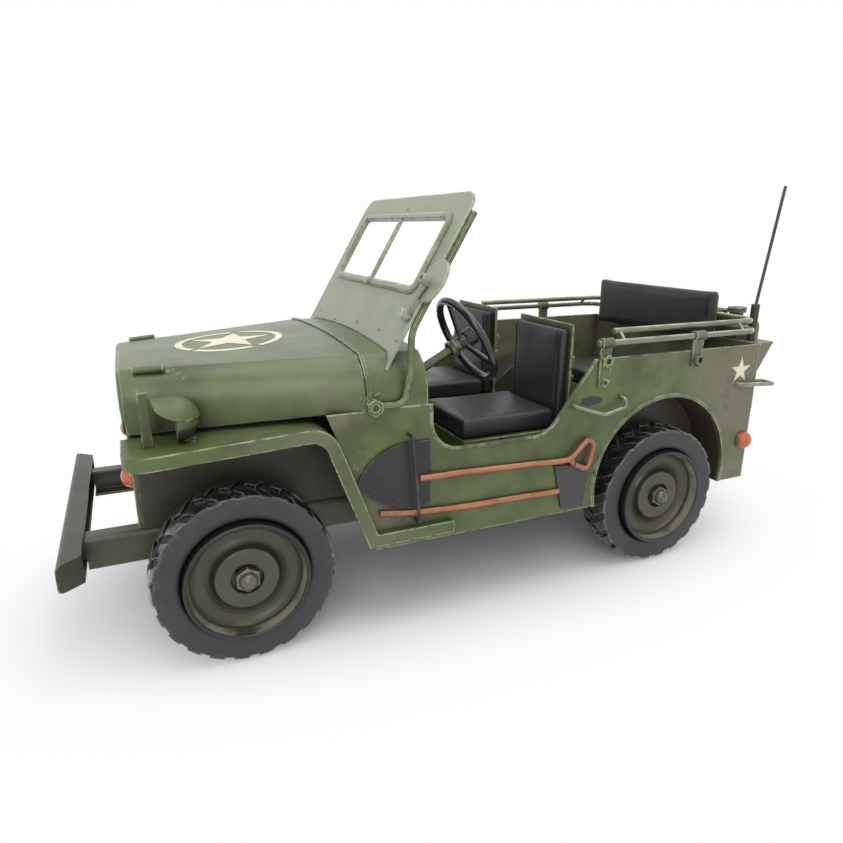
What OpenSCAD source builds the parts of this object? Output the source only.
// Hand-made sheet-metal desk model of an open army four-wheel-drive car.
// The front faces -Y, the driver's side is +X and Z is up. The origin lies on
// the ground under the middle of the model.

/* [Stance] */
// Distance between the front and the rear axle
wheelbase = 188; // [182:1:200]
// Distance between the middles of the left and the right tyres
track = 106; // [104:0.5:109]
// Front axle to the front face of the bumper
front_overhang = 58.5; // [54:0.5:66]
// Rear axle to the outside of the rear panel
tail_overhang = 53.5; // [50:0.5:60]

/* [Wheels] */
// Radius of a tyre at the tips of its tread
tyre_r = 32.5; // [31.5:0.25:33.5]
// Width of a tyre
tyre_w = 16; // [14:0.5:17]
// Outside radius of the rim's barrel
rim_r = 22.2; // [21.4:0.1:23]
// Reach of the rim's lip from the middle of the tyre
lip_reach = 11; // [10:0.25:12]
// Thickness of the pressed rim
rim_t = 1.2; // [0.9:0.1:1.5]
// Radius of the flat disc at the hub
hub_disc_r = 11.4; // [10.5:0.1:12]
// Radius of the hole in that disc, around the nut
hub_hole_r = 5.8; // [5.4:0.1:6.4]
// Radius of the axle rods
axle_r = 2.5; // [2.2:0.1:2.8]
// Width of a wheel nut across its flats
nut_af = 8; // [7.6:0.1:8.4]
// Running clearance between a wheel's bore and its axle
run_clear = 0.06; // [0.03:0.01:0.09]
// Height of the tread's lugs
lug_h = 1.9; // [1.5:0.1:2.4]
// Width of a lug
lug_w = 4.4; // [3.6:0.1:4.8]
// Slant of the lugs across the tread
lug_slant = 34; // [26:1:40]
// Lugs along each edge of the tread
lugs = 22; // [18:1:24]

/* [Frame] */
// Step from the engine space's side walls out to the frame rails
rail_step = 1; // [0.5:0.1:2]
// Height of the rails' underside above the ground
rail_z = 36.6; // [36:0.2:38]
// Height of a rail
rail_h = 11.6; // [10:0.2:13]
// Width of a rail's flanges
rail_flange = 7; // [6:0.5:9]
// Radius along a rail's upper outer edge
rail_edge = 2; // [1:0.25:2.5]
// Length of the front bumper
bumper_w = 118; // [112:1:124]
// Depth of the bumper's channel
bumper_d = 7.5; // [6:0.5:9]
// Height of the bumper
bumper_h = 10.2; // [9.5:0.1:11]
// Length of the slant at each end of the bumper
bumper_mitre = 6; // [4:0.5:7]
// Edge radius of the bumper's front
bumper_edge = 2; // [1.5:0.25:3]

/* [Body] */
// Thickness of the body's sheet metal
sheet = 1; // [0.8:0.1:1.2]
// Width over the side panels
body_w = 120; // [118:0.5:122]
// Height of the body's lower edge
sill_z = 33.5; // [31:0.5:35]
// Height of the rear body's upper edge
side_top_z = 100; // [97:0.5:103]
// Height of the seam between a side panel and the cowl
seam_z = 89; // [86:0.5:91]
// Height of the door sill
door_sill_z = 70.6; // [67:0.5:74]
// Corner radius of the door opening
door_r = 12; // [10:0.5:14]
// Front axle to the door's front edge
door_front = 72; // [70.5:0.5:75]
// Rear axle forward to the middle of the door's rear corner
door_rear = 70; // [67:0.5:76]
// Slope of the door's rear edge
door_slope = 53; // [48:1:60]
// Radius of the rear wheel arch
arch_r = 37.8; // [37:0.2:39]
// Height of the arch's centre above the axle
arch_rise = 9.3; // [8:0.1:11]
// Width of the rolled lip round the arch
arch_lip = 1.4; // [1:0.1:2]
// Width of the rolled edge round the door
door_lip = 0.9; // [0.7:0.1:1.2]

/* [Cowl and hood] */
// Front axle to the seam between hood and cowl
cowl_front = 46; // [44:0.5:48]
// Front axle to the cowl's rear edge
cowl_rear = 70; // [66:0.5:70.5]
// Height of the cowl's top
cowl_top_z = 110; // [107:0.5:113]
// Radius of the cowl's shoulders
cowl_r = 18; // [15:0.5:20]
// Radius of the crown across cowl and hood
crown_r = 620; // [500:10:800]
// Front axle forward to the hood's front edge
hood_front = 34.5; // [32:0.5:37]
// Room between a front tyre and the engine space
tyre_room = 7; // [5:0.25:8]
// Height of the hood's front edge
nose_top_z = 105.5; // [103:0.5:108]
// Height of the hood's lower edge at the front
nose_low_z = 83.5; // [83:0.25:86]
// Radius of the hood's front shoulders
nose_r = 13; // [8:0.5:15]

/* [Fenders] */
// Outside half width over the fenders
fender_x = 63; // [61.5:0.25:63.5]
// Height of the fenders' tops over the axle
fender_z = 84; // [82.5:0.25:84.5]
// Rise of the fenders' tops to the rear
fender_rise = 2.9; // [2:0.1:3.5]
// Front axle forward to a fender's front edge
fender_front = 35.5; // [34.8:0.1:38]
// Radius of the bend from a fender's top to its leg
fender_r = 11; // [8:0.5:13]
// Front axle to the foot of a fender's rear leg
leg_foot_y = 48.5; // [47:0.5:50]
// Lean of that leg from upright
leg_lean = 20.2; // [18:0.2:22]
// Height of the running boards
board_z = 41; // [39:0.5:43]
// Front axle to the end of the running boards
board_rear = 80.5; // [76:0.5:90]
// Height of the flange along a fender's edge
fender_flange = 4.8; // [4:0.2:6]

/* [Windscreen] */
// Front axle to the windscreen's foot
screen_y = 59.4; // [58:0.2:61]
// Lean of the windscreen from upright
screen_lean = 30.5; // [26:0.5:33]
// Half width of the windscreen
screen_x = 57; // [55:0.25:57.5]
// Length of the windscreen up its slope
screen_h = 63.5; // [60:0.5:66]
// Corner radius at its top
screen_r = 7; // [5:0.5:10]
// Half width of the window opening
window_x = 45.5; // [43:0.5:48]
// Slope length from the foot to the window
window_low = 24; // [22:0.5:27]
// Height of the window up the slope
window_h = 28; // [25:0.5:31]
// Radius of the tubes that stay the windscreen
stay_r = 1.3; // [1:0.1:1.6]
// Radius of the driver's mirror
mirror_r = 8.3; // [7.5:0.1:8.4]

/* [Seats and steering] */
// Width of a front seat
seat_w = 40; // [37:0.5:42]
// Room between a front seat and the side panel
seat_room = 7.5; // [6:0.25:8]
// Front axle to the front of the front seats
seat_front = 89; // [87:0.5:91]
// Length of a front cushion
seat_l = 46; // [43:0.5:48]
// Height of the front cushions' tops
seat_z = 78; // [75:0.5:80]
// Thickness of the front cushions
cushion_t = 9; // [7:0.5:11]
// Height of a front backrest above its cushion
back_h = 34.5; // [31:0.5:37]
// Thickness of a backrest
back_t = 4.5; // [3.5:0.25:6]
// Width of the rear seat
bench_w = 85; // [82:0.5:90]
// Length of the rear cushion
bench_l = 32.5; // [30:0.5:35]
// Thickness of the rear backrest
bench_t = 6; // [5:0.25:7]
// Height of the rear backrest's top
bench_top_z = 123.7; // [121:0.1:127]
// Radius of the steering wheel
steer_r = 18.4; // [16:0.2:20]
// Radius of the steering wheel's ring
steer_wire = 1.6; // [1.2:0.1:1.9]
// Slope of the steering column
steer_slope = 28; // [24:1:32]

/* [Fittings] */
// Radius of the rails round the load space
bow_r = 1.3; // [1.1:0.1:1.6]
// Height of the lower rail
bow_z = 106.5; // [104.5:0.25:108]
// Radius of the grab handles' wire
grab_r = 1; // [0.8:0.1:1.2]
// Radius of the tools' handles
tool_r = 1.1; // [0.9:0.1:1.3]
// Radius of the headlamps
headlamp_r = 7; // [6:0.25:7.5]
// Radius of the small lamps on the grille
marker_r = 4.1; // [3.4:0.1:4.4]
// Radius of the tail lamps
tail_r = 4.4; // [3.6:0.1:4.8]
// Radius of the lamp on the left fender
fender_lamp_r = 7.4; // [6.5:0.1:8]
// Reach of that lamp's visor
visor_l = 7; // [5:0.5:8]
// Height of the strip that guards that lamp
guard_h = 18.3; // [16:0.1:20]
// Length of the spare wheel's stand-off
spare_off = 4; // [3:0.25:6]
// Height of the spare wheel's middle
spare_z = 70; // [68:0.5:73]
// Side panel to the middle of the spare wheel
spare_in = 40; // [39:0.5:41]
// Side panel to the fuel can
can_in = 13.5; // [12.5:0.5:16]
// Depth of the fuel can
can_d = 14; // [12:0.5:16]
// Height of the fuel can
can_h = 44; // [40:0.5:47]
// Height of the antenna's tip
antenna_z = 170.5; // [150:0.5:180]

/* [Hidden] */
$fn = 64;
// Gap left between pieces that are fitted by hand
gap = 0.2;
// Height of the axles
axle_z = tyre_r;
// Offsets along a wheel's axis from the middle of its tyre
nut_seat = 4.4;
hub_face = 7.3;
hub_inner = -6;
nut_h = 4;
dome_r = nut_af/2 - 0.5;
nut_reach = nut_seat + gap + nut_h + dome_r;
// Places along the model
length = front_overhang + wheelbase + tail_overhang + spare_off + tyre_w/2 + nut_reach;
yf = front_overhang - length/2;
yr = yf + wheelbase;
yt = yr + tail_overhang;
bumper_y = yf - front_overhang;
// Heights and half widths that several pieces share
nose_x = track/2 - tyre_w/2 - tyre_room;
rail_x = nose_x + rail_step;
rail_top = rail_z + rail_h;
seat_x = body_w/2 - sheet - seat_room - seat_w/2;
spare_x = body_w/2 - spare_in;
floor_z = rail_top + sheet;
inner_x = body_w/2 - sheet;
apron_x = nose_x - sheet;
arch_z = axle_z + arch_rise;
house_x = track/2 - tyre_w/2 - 3;
seam_bead = 0.8;
seat_back_y = yf + seat_front + seat_l;
bench_y = yt - 15;
tool_x = body_w/2 + gap + tool_r;
bumper_z = rail_top + gap + sheet - bumper_h;

olive = [0.29, 0.34, 0.22];
olive_pale = [0.42, 0.46, 0.36];
olive_brown = [0.27, 0.26, 0.19];
dark = [0.11, 0.11, 0.10];
black = [0.06, 0.06, 0.065];
wood = [0.72, 0.36, 0.17];
amber = [0.85, 0.33, 0.15];

// Points on an arc, for outlines
function arc(c, r, a0, a1, n = 10) =
    [for (i = [0 : n]) let (a = a0 + (a1 - a0)*i/n) [c[0] + r*cos(a), c[1] + r*sin(a)]];

// Draws a side-view outline (y, z) and gives it a width along X, from x0 on
module along_x(x0, width) {
    translate([x0, 0, 0]) rotate([90, 0, 90]) linear_extrude(width) children();
}

// Draws a front-view outline (x, z) and gives it a depth along Y, from y0 on
module along_y(y0, depth) {
    translate([0, y0 + depth, 0]) rotate([90, 0, 0]) linear_extrude(depth) children();
}

// Rectangle with round corners
module round_rect(at, size, r) {
    translate(at) {
        translate([r, 0]) square([size[0] - 2*r, size[1]]);
        translate([0, r]) square([size[0], size[1] - 2*r]);
        for (x = [r, size[0] - r], y = [r, size[1] - r]) translate([x, y]) circle(r);
    }
}

// Flat dome of radius r and height h on the plane z = 0
module dome(r, h) {
    bulge = (r*r + h*h)/(2*h);
    intersection() {
        cylinder(r = r, h = h);
        translate([0, 0, h - bulge]) sphere(bulge);
    }
}

// A straight round rod from a to b
module rod(a, b, r) {
    v = b - a;
    translate(a) rotate([0, acos(v[2]/norm(v)), atan2(v[1], v[0])]) cylinder(r = r, h = norm(v));
}

function unit(v) = v/norm(v);

// Point where the line through p along u meets the line through q along v
function meet(p, u, q, v) = p + u*(cross(q - p, v)/cross(u, v));

// Arc of radius r that rounds the corner c between a and b
function fillet(a, c, b, r, n = 6) =
    let (
        u = unit(a - c),
        v = unit(b - c),
        half = acos(u*v)/2,
        mid = c + unit(u + v)*r/sin(half),
        from = c + u*r/tan(half) - mid,
        to = c + v*r/tan(half) - mid,
        a0 = atan2(from[1], from[0]),
        a1 = atan2(to[1], to[0])
    ) arc(mid, r, a0, a1 > a0 + 180 ? a1 - 360 : a1 < a0 - 180 ? a1 + 360 : a1, n);

function reverse(v) = [for (i = [len(v) - 1 : -1 : 0]) v[i]];

// Rounds the corners of a route, starting each bend a distance r before its corner
function rounded(p, r, n = 4) = concat(
    [p[0]],
    [for (i = [1 : len(p) - 2], k = [0 : n])
        let (
            a = p[i] + r*unit(p[i - 1] - p[i]),
            b = p[i] + r*unit(p[i + 1] - p[i]),
            t = k/n
        ) (1 - t)*(1 - t)*a + 2*t*(1 - t)*p[i] + t*t*b],
    [p[len(p) - 1]]
);

// A bent wire of radius r along a route
module wire(route, r, sides = 10) {
    n = len(route);
    dir = [for (i = [0 : n - 1]) unit(route[min(i + 1, n - 1)] - route[max(i - 1, 0)])];
    start = unit(cross(dir[0], abs(dir[0][0]) < 0.7 ? [1, 0, 0] : [0, 1, 0]));
    side = [for (i = 0, v = start; i < n; i = i + 1, v = i < n ? unit(v - (v*dir[i])*dir[i]) : v) v];
    points = [for (i = [0 : n - 1], k = [0 : sides - 1])
        let (a = -360*k/sides) route[i] + r*(cos(a)*side[i] + sin(a)*cross(dir[i], side[i]))];
    walls = [for (i = [0 : n - 2], k = [0 : sides - 1])
        let (a = i*sides + k, b = i*sides + (k + 1)%sides)
            each [[a, b, b + sides], [a, b + sides, a + sides]]];
    ends = [[for (k = [sides - 1 : -1 : 0]) k], [for (k = [0 : sides - 1]) (n - 1)*sides + k]];
    polyhedron(points, concat(walls, ends), convexity = 4);
}

// Copies a child on both sides of the centre plane
module both_sides() {
    children();
    mirror([1, 0, 0]) children();
}

// Wheels

// Puts a wheel part, drawn along +Z, at one wheel with +Z pointing outwards
module at_wheel(side, y) {
    translate([side*track/2, y, axle_z]) rotate([0, side*90, 0]) children();
}

module at_spare() {
    translate([-spare_x, yt + spare_off + tyre_w/2, spare_z]) rotate([-90, 0, 0]) children();
}

// Pressed rim: (radius, offset) from the bore out to the rolled lip and back behind the dish
module rim_shape() {
    bore = axle_r + run_clear;
    boss_r = axle_r + 2;
    cove = 4.6;
    roll = 0.8;
    cove_at = [hub_disc_r + cove - 0.2, nut_seat - 1.2 + cove];
    inside = rim_r - rim_t;
    rotate_extrude() polygon(concat(
        [[bore, hub_inner], [bore, nut_seat], [hub_hole_r, nut_seat], [hub_hole_r, hub_face],
            [hub_disc_r - 0.5, hub_face], [hub_disc_r, hub_face - 0.4]],
        arc(cove_at, cove, 200, 330, 7),
        [[rim_r - 2*roll - 0.3, lip_reach - 2.6]],
        arc([rim_r - roll, lip_reach - roll], roll, 180, 0, 5),
        [[rim_r, 1 - tyre_w/2], [inside, 1 - tyre_w/2], [inside, cove_at[1] - 2]],
        arc(cove_at, cove + rim_t, 328, 208, 7),
        [[hub_disc_r - rim_t, hub_face - rim_t], [hub_hole_r + rim_t, hub_face - rim_t],
            [hub_hole_r + rim_t, nut_seat - rim_t], [boss_r, nut_seat - rim_t], [boss_r, hub_inner]]
    ));
}

// Tyre with flat walls and two rows of slanted lugs
module tyre_shape() {
    bead_r = rim_r + 0.1;
    half = tyre_w/2;
    base_r = tyre_r - lug_h;
    edge_r = tyre_r - 1.3;
    shoulder = 0.8;
    lug_in = 1.4;
    rotate_extrude() polygon([
        [bead_r, 1.5 - half], [bead_r, half - 1.5], [bead_r + 1, half - 0.3], [bead_r + 2, half],
        [edge_r - 0.4, half], [edge_r, half - 0.4], [base_r, half - 3],
        [base_r, 3 - half], [edge_r, 0.4 - half], [edge_r - 0.4, -half],
        [bead_r + 2, -half], [bead_r + 1, 0.3 - half]
    ]);
    intersection() {
        rotate_extrude() polygon([
            [base_r - 1, half], [tyre_r - shoulder, half], [tyre_r, half - 2.5], [tyre_r, 2.5 - half],
            [tyre_r - shoulder, -half], [base_r - 1, -half]
        ]);
        for (side = [0, 1]) mirror([0, 0, side])
            for (i = [0 : lugs - 1]) rotate((i + side/2)*360/lugs)
                translate([base_r - 1.5, 0, lug_in]) rotate([lug_slant, 0, 0])
                    translate([0, -lug_w/2, 0]) cube([lug_h + 3, lug_w, tyre_w]);
    }
}

// Domed nut on the end of an axle
module nut_shape() {
    translate([0, 0, nut_seat + gap]) difference() {
        union() {
            cylinder(r = nut_af/2/cos(30), h = nut_h, $fn = 6);
            translate([0, 0, nut_h]) sphere(dome_r);
        }
        translate([0, 0, -1]) cylinder(r = axle_r + run_clear, h = nut_h);
    }
}

module rim(side, y) { color(olive_brown) at_wheel(side, y) rim_shape(); }
module tyre(side, y) { color(black) at_wheel(side, y) tyre_shape(); }

module wheel_nuts() {
    color(olive_brown) {
        for (side = [-1, 1], y = [yf, yr]) at_wheel(side, y) nut_shape();
        at_spare() nut_shape();
    }
}

module axle(y) {
    half = track/2 + nut_seat + gap + nut_h - 1.2;
    color(olive_brown) translate([-half, y, axle_z]) rotate([0, 90, 0]) cylinder(r = axle_r, h = 2*half);
}

module front_axle() { axle(yf); }
module rear_axle() { axle(yr); }

// Frame

// Section of a frame rail's outside (x, z)
module rail_outline() {
    translate([rail_x - rail_flange, rail_z]) {
        square([rail_flange, rail_h - rail_edge]);
        square([rail_flange - rail_edge, rail_h]);
        translate([rail_flange - rail_edge, rail_h - rail_edge]) circle(rail_edge);
    }
}

// Two channels with an ear under each for every axle, their front ends cut to fit the bumper
module frame_rails() {
    ear_r = axle_r + 3.5;
    ear_t = 3;
    y0 = bumper_y + sheet;
    color(olive_brown) both_sides() difference() {
        union() {
            along_y(y0, yt - sheet - y0) difference() {
                rail_outline();
                translate([rail_x - rail_flange - 1, rail_z + sheet])
                    square([rail_flange - sheet + 1, rail_h - 2*sheet]);
            }
            for (y = [yf, yr]) {
                translate([rail_x - ear_t, y - ear_r, axle_z])
                    cube([ear_t, 2*ear_r, rail_z + sheet/2 - axle_z]);
                translate([rail_x - ear_t, y, axle_z]) rotate([0, 90, 0]) cylinder(r = ear_r, h = ear_t);
            }
        }
        for (y = [yf, yr]) translate([rail_x - ear_t - 1, y, axle_z]) rotate([0, 90, 0])
            cylinder(r = axle_r + run_clear, h = ear_t + 2);
        translate([0, y0 - 1, rail_z - 1])
            cube([rail_x + 1, bumper_d - sheet + 1 + gap, bumper_z + sheet + gap - rail_z + 1]);
    }
}

// Plan of the bumper with its slanted ends, set in by d
module bumper_plan(d) {
    run = bumper_d + 2;
    half = bumper_w/2 - d*norm([bumper_mitre, bumper_d])/bumper_d;
    back = half - bumper_mitre*run/bumper_d;
    translate([0, 0, bumper_z - 1]) linear_extrude(bumper_h + 2) polygon([
        [-half, bumper_y], [half, bumper_y], [back, bumper_y + run], [-back, bumper_y + run]
    ]);
}

// Channel with closed ends, open to the rear, that takes the rails' ends between its flanges
module front_bumper() {
    h = bumper_h;
    e = bumper_edge;
    color(dark) difference() {
        intersection() {
            along_x(-bumper_w/2, bumper_w) translate([bumper_y, bumper_z]) {
                translate([e, 0]) square([bumper_d - e, h]);
                translate([0, e]) square([bumper_d, h - 2*e]);
                for (z = [e, h - e]) translate([e, z]) circle(e);
            }
            bumper_plan(0);
        }
        intersection() {
            along_x(-bumper_w/2, bumper_w) translate([bumper_y + sheet, bumper_z + sheet])
                square([bumper_d, h - 2*sheet]);
            bumper_plan(sheet);
        }
    }
}

// Body

// Door opening in a side panel, open at the top and wider all round by d
module door_outline(d) {
    high = side_top_z + 30;
    r = door_r + d;
    front = [yf + door_front + door_r, door_sill_z + door_r];
    rear = [yr - door_rear, door_sill_z + door_r];
    corner = arc(rear, r, 270, 270 + door_slope);
    last = corner[len(corner) - 1];
    polygon(concat(
        [[front[0] - r, high]], arc(front, r, 180, 270), corner,
        [[last[0] + (high - last[1])/tan(door_slope), high]]
    ));
}

// Place along a fender's leg at height z, set d behind its outside
function leg_y(z, d) = yf + leg_foot_y + d/cos(leg_lean) - (z - board_z)*tan(leg_lean);

module side_outline() {
    difference() {
        polygon([
            [leg_y(seam_z, gap), seam_z], [leg_y(board_z, gap), board_z], [leg_y(board_z, gap), sill_z],
            [yt, sill_z], [yt, side_top_z], [yr - door_rear, side_top_z],
            [yf + door_front + 1, side_top_z], [yf + door_front + 1, seam_z]
        ]);
        door_outline(0);
        translate([yr, arch_z]) circle(arch_r);
    }
}

// Rolled edge round the door, up to the cowl in front and to the panel's top behind
module door_lip_outline() {
    low = door_sill_z - 2*door_lip;
    middle = yf + door_front + door_r;
    intersection() {
        difference() {
            door_outline(door_lip);
            door_outline(0);
        }
        union() {
            translate([middle - 2*door_r, low]) square([2*door_r, seam_z - low]);
            translate([middle - 1, low]) square([yr - middle, side_top_z - low]);
        }
    }
}

// Rolled lip round the wheel arch, above the sill
module arch_lip_outline() {
    intersection() {
        translate([yr, arch_z]) difference() {
            circle(arch_r + arch_lip);
            circle(arch_r);
        }
        above_sill(sill_z);
    }
}

// Everything round the rear wheels above the height z, in side view
module above_sill(z) {
    reach = arch_r + 20;
    translate([yr - reach, z]) square([2*reach, side_top_z]);
}

module side_panel() {
    along_x(inner_x, sheet) side_outline();
    along_x(body_w/2 - sheet/2, sheet/2 + 0.7) arch_lip_outline();
    along_x(body_w/2 - sheet/2, sheet/2 + 0.5) door_lip_outline();
}

module side_left() { color(olive) side_panel(); }
module side_right() { color(olive) mirror([1, 0, 0]) side_panel(); }

module rear_panel() {
    color(olive) translate([-inner_x, yt - sheet, sill_z]) cube([2*inner_x, sheet, side_top_z - sill_z]);
}

// Arched boxes over the rear wheels, inside the body
module wheel_houses() {
    color(olive_brown) both_sides() {
        along_x(house_x, inner_x - house_x) intersection() {
            translate([yr, arch_z]) difference() {
                circle(arch_r + sheet);
                circle(arch_r);
            }
            above_sill(sill_z);
        }
        along_x(house_x - sheet, sheet) intersection() {
            translate([yr, arch_z]) circle(arch_r + sheet);
            above_sill(rail_top);
        }
    }
}

module floor_pan() {
    y0 = yf + cowl_front + sheet;
    color(olive) difference() {
        translate([-inner_x, y0, rail_top]) cube([2*inner_x, yt - sheet - y0, sheet]);
        both_sides() translate([house_x - sheet - gap, yr - arch_r - sheet - gap, rail_top - 1])
            cube([body_w/2, 2*(arch_r + sheet + gap), sheet + 2]);
    }
}

// Cross-section of cowl and hood (x, z): upright sides, round shoulders, crowned top
module arch_section(half, top, low, r) {
    intersection() {
        union() {
            translate([-half, low]) square([2*half, top - r - low]);
            translate([r - half, low]) square([2*(half - r), top - low]);
            for (s = [-1, 1]) translate([s*(half - r), top - r]) circle(r);
        }
        translate([-half, low]) square([2*half, top - low]);
        translate([0, top - crown_r]) circle(crown_r, $fn = 360);
    }
}

// The cowl's section, set in from its outside by d
module cowl_section(d, low) {
    arch_section(body_w/2 - d, cowl_top_z - d, low, cowl_r - d);
}

module firewall() {
    color(olive_brown) along_y(yf + cowl_front, sheet) cowl_section(sheet + gap, rail_top);
}

// Shell over the driver's knees, with a half-round bead along its front seam
module cowl() {
    bead = seam_bead;
    color(olive) {
        along_y(yf + cowl_front, cowl_rear - cowl_front) difference() {
            cowl_section(0, seam_z);
            cowl_section(sheet, seam_z - 1);
        }
        along_y(yf + cowl_front, 2*bead) difference() {
            cowl_section(-bead, seam_z);
            cowl_section(sheet/2, seam_z - 1);
        }
    }
}

module dashboard() {
    color(olive) along_y(yf + cowl_rear - 2, sheet) cowl_section(sheet + gap, seam_z - 4);
}

// Depth of the bent edge round the hood's front, and how far its foot lies back
nose_edge = 1.2;
nose_slant = 1.9;

// The hood's share of the way from its nose to the cowl, and its measures there
function hood_mix(y) = (y - yf + hood_front - nose_edge)/(hood_front + cowl_front - gap - nose_edge);
function hood_half(y) = nose_x + (body_w/2 - nose_x)*hood_mix(y);
function hood_top(y) = nose_top_z + (cowl_top_z - nose_top_z)*hood_mix(y);
function hood_r(y) = nose_r + (cowl_r - nose_r)*hood_mix(y);

// One station of the hood, a thin slice set in by d
module hood_station(y, half, top, low, r, d) {
    along_y(y, 0.02) arch_section(half - d, top - d, low, r - d, $fn = 96);
}

// Loft from the nose to the cowl, set in by d, lowered and lengthened by over
module hood_loft(d, low, over) {
    nose = yf - hood_front;
    foot = nose_low_z - low;
    hull() {
        hood_station(nose - over, nose_x, nose_top_z, foot, nose_r, d + nose_edge);
        hood_station(nose + nose_edge, nose_x, nose_top_z, foot, nose_r, d);
        hood_station(yf + cowl_front - gap + over, body_w/2, cowl_top_z, seam_z + gap - low, cowl_r, d);
    }
}

module hood() {
    nose = yf - hood_front;
    low = nose_low_z - 1;
    color(olive) difference() {
        hood_loft(0, 0, 0);
        hood_loft(sheet, 3, 0.5);
        along_x(-body_w/2, body_w) polygon([
            [nose - 1, nose_top_z], [nose, nose_top_z - nose_r], [nose + nose_slant, low], [nose - 1, low]
        ]);
    }
}

// Two short rests on the hood's shoulders
module hood_rests() {
    r = 1.2;
    turn = 31;
    front = yf - hood_front + 5.5;
    rest_l = 10;
    function place(y) =
        let (reach = hood_r(y) + r + gap/2)
        [hood_half(y) - hood_r(y) + reach*sin(turn), y, hood_top(y) - hood_r(y) + reach*cos(turn)];
    color(olive) both_sides() rod(place(front), place(front + rest_l), r);
}

grille_t = 1.5;
grille_y = yf - hood_front + nose_edge;
headlamp_x = apron_x - headlamp_r - 2;
headlamp_z = 90;
marker_x = apron_x - marker_r - 1;
marker_z = 66.6;

// Front panel with upright slots and a hole for each headlamp
module grille() {
    slots = 8;
    pitch = 4.2;
    slot_w = 2.4;
    slot_low = 64;
    slot_high = 94;
    color(olive) along_y(grille_y, grille_t) difference() {
        arch_section(apron_x - gap, nose_top_z - sheet - 0.5, rail_top, nose_r - sheet);
        for (i = [0 : slots - 1]) translate([(i - slots/2 + 0.5)*pitch, slot_low])
            round_rect([-slot_w/2, 0], [slot_w, slot_high - slot_low], slot_w/2 - 0.01);
        for (side = [-1, 1]) translate([side*headlamp_x, headlamp_z]) circle(headlamp_r + gap);
    }
}

// Lamps that stand in the grille's holes, with a flange behind it
module headlamps() {
    flange = 1;
    color(olive_pale) both_sides() translate([headlamp_x, grille_y + grille_t + gap/4, headlamp_z])
        rotate([90, 0, 0]) {
            translate([0, 0, -flange]) cylinder(r = headlamp_r + flange, h = flange);
            dome(headlamp_r, grille_t + 1.4);
        }
}

module marker_lamps() {
    color(amber) both_sides() translate([marker_x, grille_y, marker_z])
        rotate([90, 0, 0]) dome(marker_r, 3.9);
}

// Side walls of the engine space, each with a foot on its rail
module engine_aprons() {
    y0 = grille_y + grille_t;
    foot_x = rail_x - rail_edge - 4;
    color(olive_brown) both_sides() along_y(y0, yf + cowl_front - y0) {
        translate([apron_x, rail_top]) square([sheet, nose_low_z - 1.5 - rail_top]);
        translate([foot_x, rail_top]) square([apron_x + sheet/2 - foot_x, sheet]);
    }
}

// Fenders

// Height of a fender's top
function fender_top(y) = fender_z + tan(fender_rise)*(y - yf);

// Side-view line of fender, leg and running board, set in by d towards the wheel
function fender_line(d) =
    let (
        along_top = [cos(fender_rise), sin(fender_rise)],
        along_leg = [sin(leg_lean), -cos(leg_lean)],
        top = [yf, fender_z] + d*[sin(fender_rise), -cos(fender_rise)],
        leg = [yf + leg_foot_y, board_z] - d*[cos(leg_lean), sin(leg_lean)],
        front = meet(top, along_top, [yf - fender_front, 0], [0, 1]),
        peak = meet(top, along_top, leg, along_leg),
        foot = meet(leg, along_leg, [yf, board_z - d], [1, 0])
    ) concat([front], fillet(front, peak, foot, fender_r - d), [foot]);

// Sheet between that line and its copy set in by d, with the running board's edge if board is true
module fender_band(d, board) {
    end = yf + board_rear;
    polygon(concat(
        fender_line(0), board ? [[end, board_z], [end, board_z - d]] : [], reverse(fender_line(d))
    ));
}

// Plan of a fender from its round front corner back, set in by d at its front and outer edges
module fender_plan(d) {
    r = 8;
    x0 = apron_x + sheet - d;
    x1 = fender_x - d;
    y0 = yf - fender_front + d;
    rd = r - d;
    run = fender_front + board_rear + 1;
    translate([0, 0, board_z - 2*fender_flange]) linear_extrude(fender_z) {
        translate([x0, y0 + rd]) square([x1 - x0, run]);
        translate([x0, y0]) square([x1 - rd - x0, rd]);
        translate([x1 - rd, y0 + rd]) circle(rd);
    }
}

module fender() {
    x0 = apron_x + sheet;
    w = fender_x - x0;
    // Top and leg, the leg's foot cut clear of the frame rail
    difference() {
        intersection() {
            along_x(x0, w) fender_band(sheet, false);
            fender_plan(0);
        }
        translate([x0 - 1, yf, board_z - 2*sheet])
            cube([rail_x + gap - x0 + 1, leg_foot_y + 1, rail_top + gap - board_z + 2*sheet]);
    }
    // Flange along the front and outer edges
    intersection() {
        along_x(x0, w) fender_band(fender_flange, true);
        difference() {
            fender_plan(0);
            fender_plan(sheet);
        }
    }
    // Running board
    translate([body_w/2, yf + leg_foot_y - 1, board_z - sheet])
        cube([fender_x - body_w/2, board_rear - leg_foot_y + 1, sheet]);
}

module fender_left() { color(olive) fender(); }
module fender_right() { color(olive) mirror([1, 0, 0]) fender(); }

lamp_y = yf - 17.8;
lamp_x = hood_half(lamp_y) + fender_lamp_r + 1.2;

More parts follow.
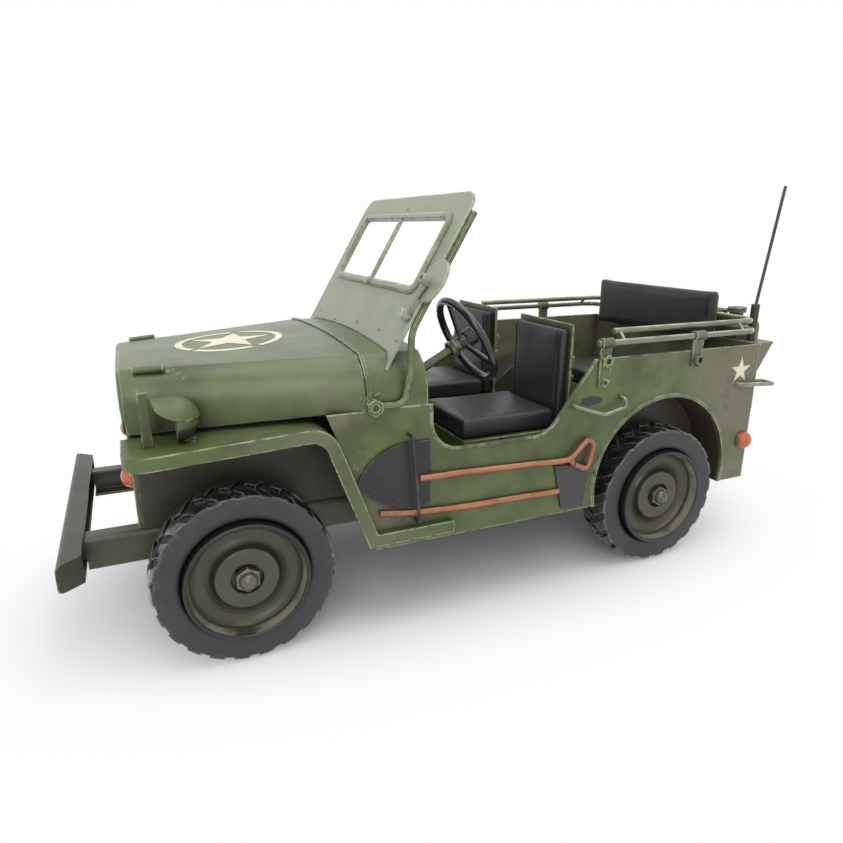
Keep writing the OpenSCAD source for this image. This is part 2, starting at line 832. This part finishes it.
// Round-backed lamp with a visor, on a short foot
module fender_lamp() {
    r = fender_lamp_r;
    shell = 0.8;
    cap = 0.5;
    foot_r = 2;
    foot_y = lamp_y + 3;
    z0 = fender_top(lamp_y) + r + 0.5;
    edge_z = z0 + 1;
    high = z0 + r + cap;
    reach = visor_l + 4;
    visor = concat(
        [for (a = [0 : 10 : 90]) [lamp_y + 4 - reach*cos(a), high - (high - edge_z)*sin(a)]],
        [[lamp_y + 2*r, edge_z], [lamp_y + 2*r, high + 1], [lamp_y + 4 - reach, high + 1]]
    );
    color(olive) difference() {
        union() {
            intersection() {
                translate([lamp_x, lamp_y, z0]) sphere(r);
                translate([lamp_x - r, lamp_y, z0 - r]) cube([2*r, r, 2*r]);
            }
            intersection() {
                translate([lamp_x, lamp_y, z0]) {
                    sphere(r + cap);
                    rotate([90, 0, 0]) cylinder(r = r + cap, h = visor_l + 1);
                }
                along_x(lamp_x - 2*r, 4*r) polygon(visor);
            }
            translate([lamp_x, foot_y, fender_top(foot_y + foot_r) + gap/4]) cylinder(r = foot_r, h = 3);
        }
        translate([lamp_x, lamp_y + 1, z0]) rotate([90, 0, 0]) cylinder(r = r - shell, h = visor_l + 3);
    }
}

// Folded upright strip in front of the fender lamp
module lamp_guard() {
    leaf = 3.3;
    t = 0.8;
    y0 = lamp_y - visor_l - leaf - 0.6;
    z0 = fender_top(y0 + leaf) + 0.05;
    color(olive) translate([lamp_x + 0.8, y0, z0]) difference() {
        union() {
            translate([-t, 0, 0]) cube([t, leaf, guard_h]);
            translate([-4.5, 0, 0]) cube([4.5, t, guard_h]);
        }
        translate([-2.6, -1, guard_h - 1.6]) rotate([-90, 0, 0]) cylinder(r = 0.6, h = t + 2);
    }
}

// Windscreen

// Local frame of the windscreen: x across, y up the slope, z towards the front
module on_screen() {
    translate([0, yf + screen_y, cowl_top_z - 0.5]) rotate([90 - screen_lean, 0, 0]) children();
}

window_r = 2.5;
frame_band = 3;

// The window's outline, wider all round by d
module window_outline(d) {
    round_rect([-window_x - d, window_low - d], [2*(window_x + d), window_h + 2*d], window_r + d);
}

// Sheet with a window, cut to the cowl along its foot
module windscreen() {
    low = 12;
    color(olive_pale) difference() {
        on_screen() linear_extrude(sheet) difference() {
            union() {
                translate([-screen_x, -low]) square([2*screen_x, screen_h - screen_r + low]);
                translate([screen_r - screen_x, -low]) square([2*(screen_x - screen_r), screen_h + low]);
                for (s = [-1, 1]) translate([s*(screen_x - screen_r), screen_h - screen_r]) circle(screen_r);
            }
            window_outline(0);
        }
        along_y(yf + cowl_front - 10, 60) cowl_section(-gap, seam_z - 20);
    }
}

// One layer of the window's frame and of the bar in its middle, set in by d
module frame_layer(d, t) {
    bar = 2.4 - 2*d;
    linear_extrude(t) {
        difference() {
            window_outline(frame_band - d);
            window_outline(d);
        }
        translate([-bar/2, window_low - 1]) square([bar, window_h + 2]);
    }
}

// Rounded frame round the window with an upright bar in the middle and a clip at its foot
module window_frame() {
    color(olive_pale) on_screen() translate([0, 0, sheet]) {
        frame_layer(0, 0.8);
        frame_layer(0.6, 1.4);
        translate([0, window_low - frame_band/2, 0]) cylinder(r = 1.6, h = 2.2);
    }
}

// Point of the windscreen's frame in the model's frame
function screen_point(x, up, out) = [
    x,
    yf + screen_y + up*sin(screen_lean) - out*cos(screen_lean),
    cowl_top_z - 0.5 + up*cos(screen_lean) + out*sin(screen_lean)
];

// Tubes from the pivot nuts round the cowl and up behind the screen's edges
module screen_stays() {
    x = body_w/2 + gap + stay_r;
    pivot = [x, yf + cowl_front + 2, seam_z + 1.8];
    back = -stay_r - gap;
    color(olive) both_sides() {
        wire(rounded([
            pivot, [x, yf + cowl_front + 14, seam_z + 1.5], [x, yf + cowl_front + 16.5, seam_z + 14],
            screen_point(screen_x - 0.4, 8, back), screen_point(screen_x - 0.4, screen_h - screen_r, back)
        ], 4), stay_r);
        translate([body_w/2 + seam_bead + gap, pivot[1], pivot[2]]) rotate([0, 90, 0]) difference() {
            cylinder(r = 3.2, h = 3, $fn = 6);
            translate([0, 0, 2]) cylinder(r = 1.3, h = 2);
        }
    }
}

// Round mirror at the driver's edge of the screen, held by an arm with a nut at each end
module mirror_on_arm() {
    r = 1;
    disc_t = 1;
    disc_x = body_w/2 + 0.4;
    disc_up = 27.3;
    foot = [screen_x - 3.2, 12.4];
    face = sheet + gap + disc_t + r;
    nut_r = 2.1;
    color(olive_pale) {
        rod(screen_point(foot[0], foot[1], face), screen_point(disc_x - 1, disc_up - 1, face), r);
        on_screen() {
            translate([foot[0], foot[1], sheet + gap/4]) cylinder(r = nut_r, h = 4, $fn = 6);
            translate([disc_x, disc_up, sheet + gap]) cylinder(r = mirror_r, h = disc_t);
            translate([disc_x - 1, disc_up - 1, sheet + gap + disc_t/2]) difference() {
                cylinder(r = nut_r, h = 4.6, $fn = 6);
                translate([0, 0, 3.6]) cylinder(r = 1, h = 2);
            }
        }
    }
}

// Steering

hub = [seat_x, yf + 96, 104.5];
column_dir = [0, -cos(steer_slope), -sin(steer_slope)];

module steering_column() {
    reach = (hub[1] - (yf + cowl_rear - 2 + sheet) - gap)/cos(steer_slope);
    color(olive) {
        rod(hub, hub + column_dir*(reach - 1), 1.8);
        rod(hub - column_dir*1, hub + column_dir*3, 2.6);
    }
}

module steering_wheel() {
    dish = 5;
    ring = hub - column_dir*dish;
    color(black) {
        translate(ring) rotate([steer_slope - 90, 0, 0])
            rotate_extrude() translate([steer_r, 0]) circle(steer_wire);
        for (a = [90, 210, 330]) {
            end = ring + steer_r*[cos(a), -sin(a)*sin(steer_slope), sin(a)*cos(steer_slope)];
            rod(hub - column_dir*2.9, end, 1.2);
        }
        rod(hub - column_dir*1.2, hub - column_dir*4.5, 3);
    }
}

// Seats

// Box of sheet metal, open below
module sheet_box(size) {
    difference() {
        cube(size);
        translate([sheet, sheet, -1]) cube([size[0] - 2*sheet, size[1] - 2*sheet, size[2] - sheet + 1]);
    }
}

module front_seat_frames() {
    y1 = seat_back_y + back_t + gap;
    color(olive) both_sides() translate([seat_x - seat_w/2, 0, 0]) {
        translate([0, yf + seat_front + 1, floor_z])
            sheet_box([seat_w, seat_l - 1, seat_z - cushion_t - floor_z]);
        translate([0, y1, floor_z]) cube([seat_w, sheet, seat_z + back_h + 1 - floor_z]);
        for (z = [seat_z + 12, seat_z + 20]) translate([0, y1 + sheet - 0.01, z]) cube([seat_w, 1, 2]);
    }
}

module front_cushions() {
    color(black) both_sides() translate([seat_x - seat_w/2, yf + seat_front, seat_z - cushion_t + gap])
        cube([seat_w, seat_l - gap, cushion_t - gap]);
}

module front_backrests() {
    color(black) both_sides() translate([seat_x - seat_w/2, seat_back_y, seat_z - cushion_t])
        cube([seat_w, back_t, back_h + cushion_t]);
}

module rear_seat_frame() {
    half = house_x - 12;
    back_y = bench_y + bench_t + gap;
    edge = 3;
    color(olive) {
        translate([-half, bench_y - bench_l, floor_z])
            sheet_box([2*half, bench_l, seat_z - cushion_t - floor_z]);
        translate([edge - bench_w/2, back_y, side_top_z])
            cube([bench_w - 2*edge, sheet, bench_top_z - edge - side_top_z]);
        translate([-half, back_y, floor_z]) cube([2*half, sheet, side_top_z - floor_z]);
    }
}

module rear_cushion() {
    half = house_x - 2;
    color(black) translate([-half, bench_y - bench_l - 0.5, seat_z - cushion_t + gap])
        cube([2*half, bench_l, cushion_t - gap]);
}

module rear_backrest() {
    low = seat_z + 20;
    color(black) translate([-bench_w/2, bench_y, low]) cube([bench_w, bench_t, bench_top_z - low]);
}

// Rails round the load space

// One rail from y0 along the left side, round the tail at y1 and back along the right side
module u_rail(x, y0, y1, z) {
    bend = 8;
    rod([bend - x, y1, z], [x - bend, y1, z], bow_r);
    both_sides() {
        rod([x, y0, z], [x, y1 - bend, z], bow_r);
        translate([x - bend, y1 - bend, z]) rotate_extrude(angle = 90) translate([bend, 0]) circle(bow_r);
    }
}

bow_x = body_w/2 + sheet/2;
bow_y0 = yr - 41.5;
bow_y1 = yt - 3;

module load_rails() {
    upper_x = bow_x - 4;
    upper_z = bow_z + 4;
    color(olive_pale) {
        u_rail(bow_x, bow_y0, bow_y1, bow_z);
        u_rail(upper_x, bow_y0 + 10.5, bow_y1 + 3, upper_z);
        both_sides() for (y = [bow_y0 + 13.5, bow_y1 - 10])
            rod([bow_x, y, bow_z], [upper_x, y, upper_z], 0.8);
    }
}

// Six-sided nut on the side panel with an open bore
module panel_nut(y, z, r, h) {
    translate([body_w/2, y, z]) rotate([0, 90, 0]) difference() {
        cylinder(r = r, h = h, $fn = 6);
        translate([0, 0, h/2]) cylinder(r = r*0.45, h = h);
    }
}

// Strap from z0 up to a sleeve round the lower rail, with a nut at nut_z
module rail_bracket(y, z0, nut_z) {
    strap_w = 5.8;
    sleeve_r = bow_r + 0.9;
    difference() {
        union() {
            translate([body_w/2, y - strap_w/2, z0]) cube([sheet, strap_w, bow_z - bow_r - z0]);
            translate([bow_x, y - strap_w/2, bow_z]) rotate([-90, 0, 0]) cylinder(r = sleeve_r, h = strap_w);
        }
        translate([bow_x, y - strap_w, bow_z]) rotate([-90, 0, 0]) cylinder(r = bow_r + gap/2, h = 2*strap_w);
    }
    panel_nut(y, nut_z, 2.8, 3);
}

// Straps with nuts that hold the lower rail on the side panels
module rail_brackets() {
    front = bow_y0 + 3.9;
    color(olive) both_sides() {
        rail_bracket(front, side_top_z - 12.2, side_top_z - 0.8);
        panel_nut(front, side_top_z - 10, 1.9, 2);
        rail_bracket(yr + 13.2, side_top_z - 7, side_top_z - 4.2);
    }
}

grab_y = yr - 52.5;
grab_z = 81.5;
loop_y = yt - 13;
loop_z = 80.5;

// Bent wires: a handle behind each door and a loop round each rear corner
module grab_handles() {
    x = body_w/2 + gap;
    out = x + 3.2;
    loop_x = x + 2.6;
    inside = x - 5;
    back = yt + 9.5;
    color(olive) both_sides() {
        wire(rounded([
            [x, grab_y, grab_z], [out, grab_y, grab_z], [out, grab_y + 15, grab_z - 5],
            [out, grab_y + 26, grab_z - 2.5], [out, grab_y + 25, grab_z + 1.1], [x, grab_y + 25, grab_z + 1.1]
        ], 1.5), grab_r*0.8);
        wire(rounded([
            [x, loop_y, loop_z + 1.5], [loop_x, loop_y, loop_z + 1.5], [loop_x, back, loop_z],
            [inside, back, loop_z], [inside, yt + gap, loop_z]
        ], 2), grab_r);
    }
}

// Tools on the left side

blade_y = yf + 41.5;
blade_l = 29.3;
blade_w = 26;
blade_point = 20;
blade_z = 62.4;
grip_y = yf + 135;
grip_z = 58.5;
axe_y = yf + 130;
axe_z = 36;
axe_tail = yf + 50;

// Pointed shovel blade: two arcs that meet at its tip, and straight edges behind
module blade_outline() {
    half = blade_w/2;
    r = (blade_point*blade_point + half*half)/blade_w;
    y1 = blade_y + blade_point;
    tip = atan2(r - half, -blade_point);
    polygon(concat(
        arc([y1, blade_z + half - r], r, 90, tip, 8), arc([y1, blade_z - half + r], r, 360 - tip, 270, 8),
        [[blade_y + blade_l, blade_z - half], [blade_y + blade_l, blade_z + half]]
    ));
}

module tool_heads() {
    x = body_w/2 + gap;
    color(dark) {
        along_x(x, 0.8) blade_outline();
        along_x(x, 0.8) polygon([
            [axe_y - 1.7, axe_z + 20], [axe_y + 16.5, axe_z + 18.5],
            [axe_y + 13.8, axe_z - 0.5], [axe_y + 3, axe_z]
        ]);
    }
}

// Shovel handle with its bent grip, and the axe handle
module tool_handles() {
    x = tool_x;
    root = blade_y + blade_l - 5;
    step = 0.9;
    color(wood) {
        wire(rounded([
            [x + step, root, grip_z + 2.5], [x + step, root + 8, grip_z + 2.2], [x, root + 16, grip_z + 1.9],
            [x, grip_y - 14, grip_z + 0.2], [x + step, grip_y - 8, grip_z], [x + step, grip_y, grip_z],
            [x + step, grip_y + 8.5, grip_z + 8], [x + step, grip_y + 12, grip_z + 5.5],
            [x + step, grip_y + 9, grip_z - 5.7], [x + step, grip_y + 2.5, grip_z - 2.7]
        ], 1.8), tool_r);
        wire(rounded([
            [x, axe_tail, axe_z + 12.8], [x, axe_tail + 12.6, axe_z + 10.8], [x, axe_tail + 38, axe_z + 9.5],
            [x, axe_tail + 60, axe_z + 9.2], [x, axe_y + 0.5, axe_z + 8.5]
        ], 5), tool_r);
    }
}

// Strap round both tools, over the shovel's blade
module tool_strap() {
    r = 0.7;
    x = body_w/2 + gap;
    out = tool_x + 0.9 + tool_r + gap + r;
    y = blade_y + blade_point + 0.5;
    high = blade_z + blade_w/2 + 3;
    low = axe_z + 7.5;
    color(dark) wire(rounded([[x, y, high], [out, y, high], [out, y + 3, low], [x, y + 3, low]], 1.5), r);
}

// Tail

tail_y = yt - 3.4;
tail_z = 53.2;
lens_y = tail_y - 1.6;

module tail_dome() {
    intersection() {
        translate([body_w/2 + gap, tail_y, tail_z]) sphere(tail_r);
        translate([body_w/2 + gap, tail_y - 10, tail_z - 10]) cube(20);
    }
}

module tail_lamp_cups() {
    color(olive) both_sides() intersection() {
        tail_dome();
        translate([body_w/2, lens_y - 20, tail_z - 10]) cube([20, 20, 20]);
    }
}

module tail_lamp_lenses() {
    color(amber) both_sides() intersection() {
        tail_dome();
        translate([body_w/2, lens_y + gap/4, tail_z - 10]) cube([20, 20, 20]);
    }
}

bracket_x = body_w/2 - 2;
bracket_d = 11;

// Gussets at the rear corners
module corner_brackets() {
    low = side_top_z - 14;
    color(olive) both_sides() {
        along_x(bracket_x - sheet, sheet)
            polygon([[yt, side_top_z], [yt + bracket_d, side_top_z], [yt + 2.5, low], [yt, low]]);
        translate([bracket_x - bracket_d, yt, side_top_z - sheet]) cube([bracket_d, bracket_d, sheet]);
    }
}

// Rod that leans back from its socket
module antenna() {
    x = bracket_x - 7.5;
    y = yt + 4.5;
    socket_h = 17;
    color(dark) {
        translate([x, y, side_top_z + gap]) cylinder(r = 1.9, h = socket_h);
        rod([x, y, side_top_z + socket_h - 1], [x, y + 8, antenna_z], 0.7);
    }
}

// Boss and stud for the spare wheel
module spare_carrier() {
    color(olive) translate([-spare_x, yt, spare_z]) rotate([-90, 0, 0]) {
        cylinder(r = 7, h = spare_off + tyre_w/2 + hub_inner - gap);
        cylinder(r = axle_r, h = spare_off + tyre_w/2 + nut_seat + gap + nut_h - 1.2);
    }
}

module spare_rim() { color(olive_brown) at_spare() rim_shape(); }
module spare_tyre() { color(black) at_spare() tyre_shape(); }

can_x = tyre_r - spare_x + 3;
can_w = body_w/2 - can_in - can_x;
can_z = side_top_z - can_h + 9;

// Fuel can with rounded edges, three carrying bars and a cap
module fuel_can() {
    y0 = yt + gap;
    top = can_z + can_h;
    bar = 1.4;
    bar_l = can_w/2 - 3;
    bar_h = 3.4;
    color(olive) {
        along_y(y0, can_d) round_rect([can_x, can_z], [can_w, can_h], 4);
        for (i = [-1, 0, 1]) along_y(y0 + can_d/2 + 4*i - bar/2, bar) difference() {
            translate([can_x + 4, top - 1]) square([bar_l, bar_h + 1]);
            translate([can_x + 4 + bar, top - 2]) square([bar_l - 2*bar, bar_h + 2 - bar]);
        }
        translate([can_x + can_w - 8.5, y0 + can_d/2, top - 1]) {
            cylinder(r = 3.2, h = 5);
            translate([0, 0, 4]) cylinder(r = 4.4, h = 2.4);
        }
    }
}

// Tray and upright strip that hold the can on the rear panel
module can_rack() {
    color(olive) {
        translate([can_x - 1, yt, can_z - gap - sheet]) cube([can_w + 2, can_d + 2, sheet]);
        translate([can_x - 1, yt + can_d + 1, can_z - gap - sheet]) cube([can_w + 2, sheet, 8]);
    }
}

frame_rails();
front_bumper();
front_axle();
rear_axle();
wheel_nuts();
floor_pan();
firewall();
side_left();
side_right();
rear_panel();
wheel_houses();
cowl();
dashboard();
hood();
hood_rests();
grille();
headlamps();
marker_lamps();
engine_aprons();
fender_left();
fender_right();
fender_lamp();
lamp_guard();
windscreen();
window_frame();
screen_stays();
mirror_on_arm();  // mirror
steering_column();
steering_wheel();
front_seat_frames();
front_cushions();
front_backrests();
rear_seat_frame();
rear_cushion();
rear_backrest();
load_rails();
rail_brackets();
grab_handles();
tool_heads();
tool_handles();
tool_strap();
tail_lamp_cups();
tail_lamp_lenses();
corner_brackets();
antenna();
spare_carrier();
spare_rim();
spare_tyre();
fuel_can();
can_rack();
rim(1, yf);  // rim_front_left
rim(-1, yf);  // rim_front_right
rim(1, yr);  // rim_rear_left
rim(-1, yr);  // rim_rear_right
tyre(1, yf);  // tyre_front_left
tyre(-1, yf);  // tyre_front_right
tyre(1, yr);  // tyre_rear_left
tyre(-1, yr);  // tyre_rear_right
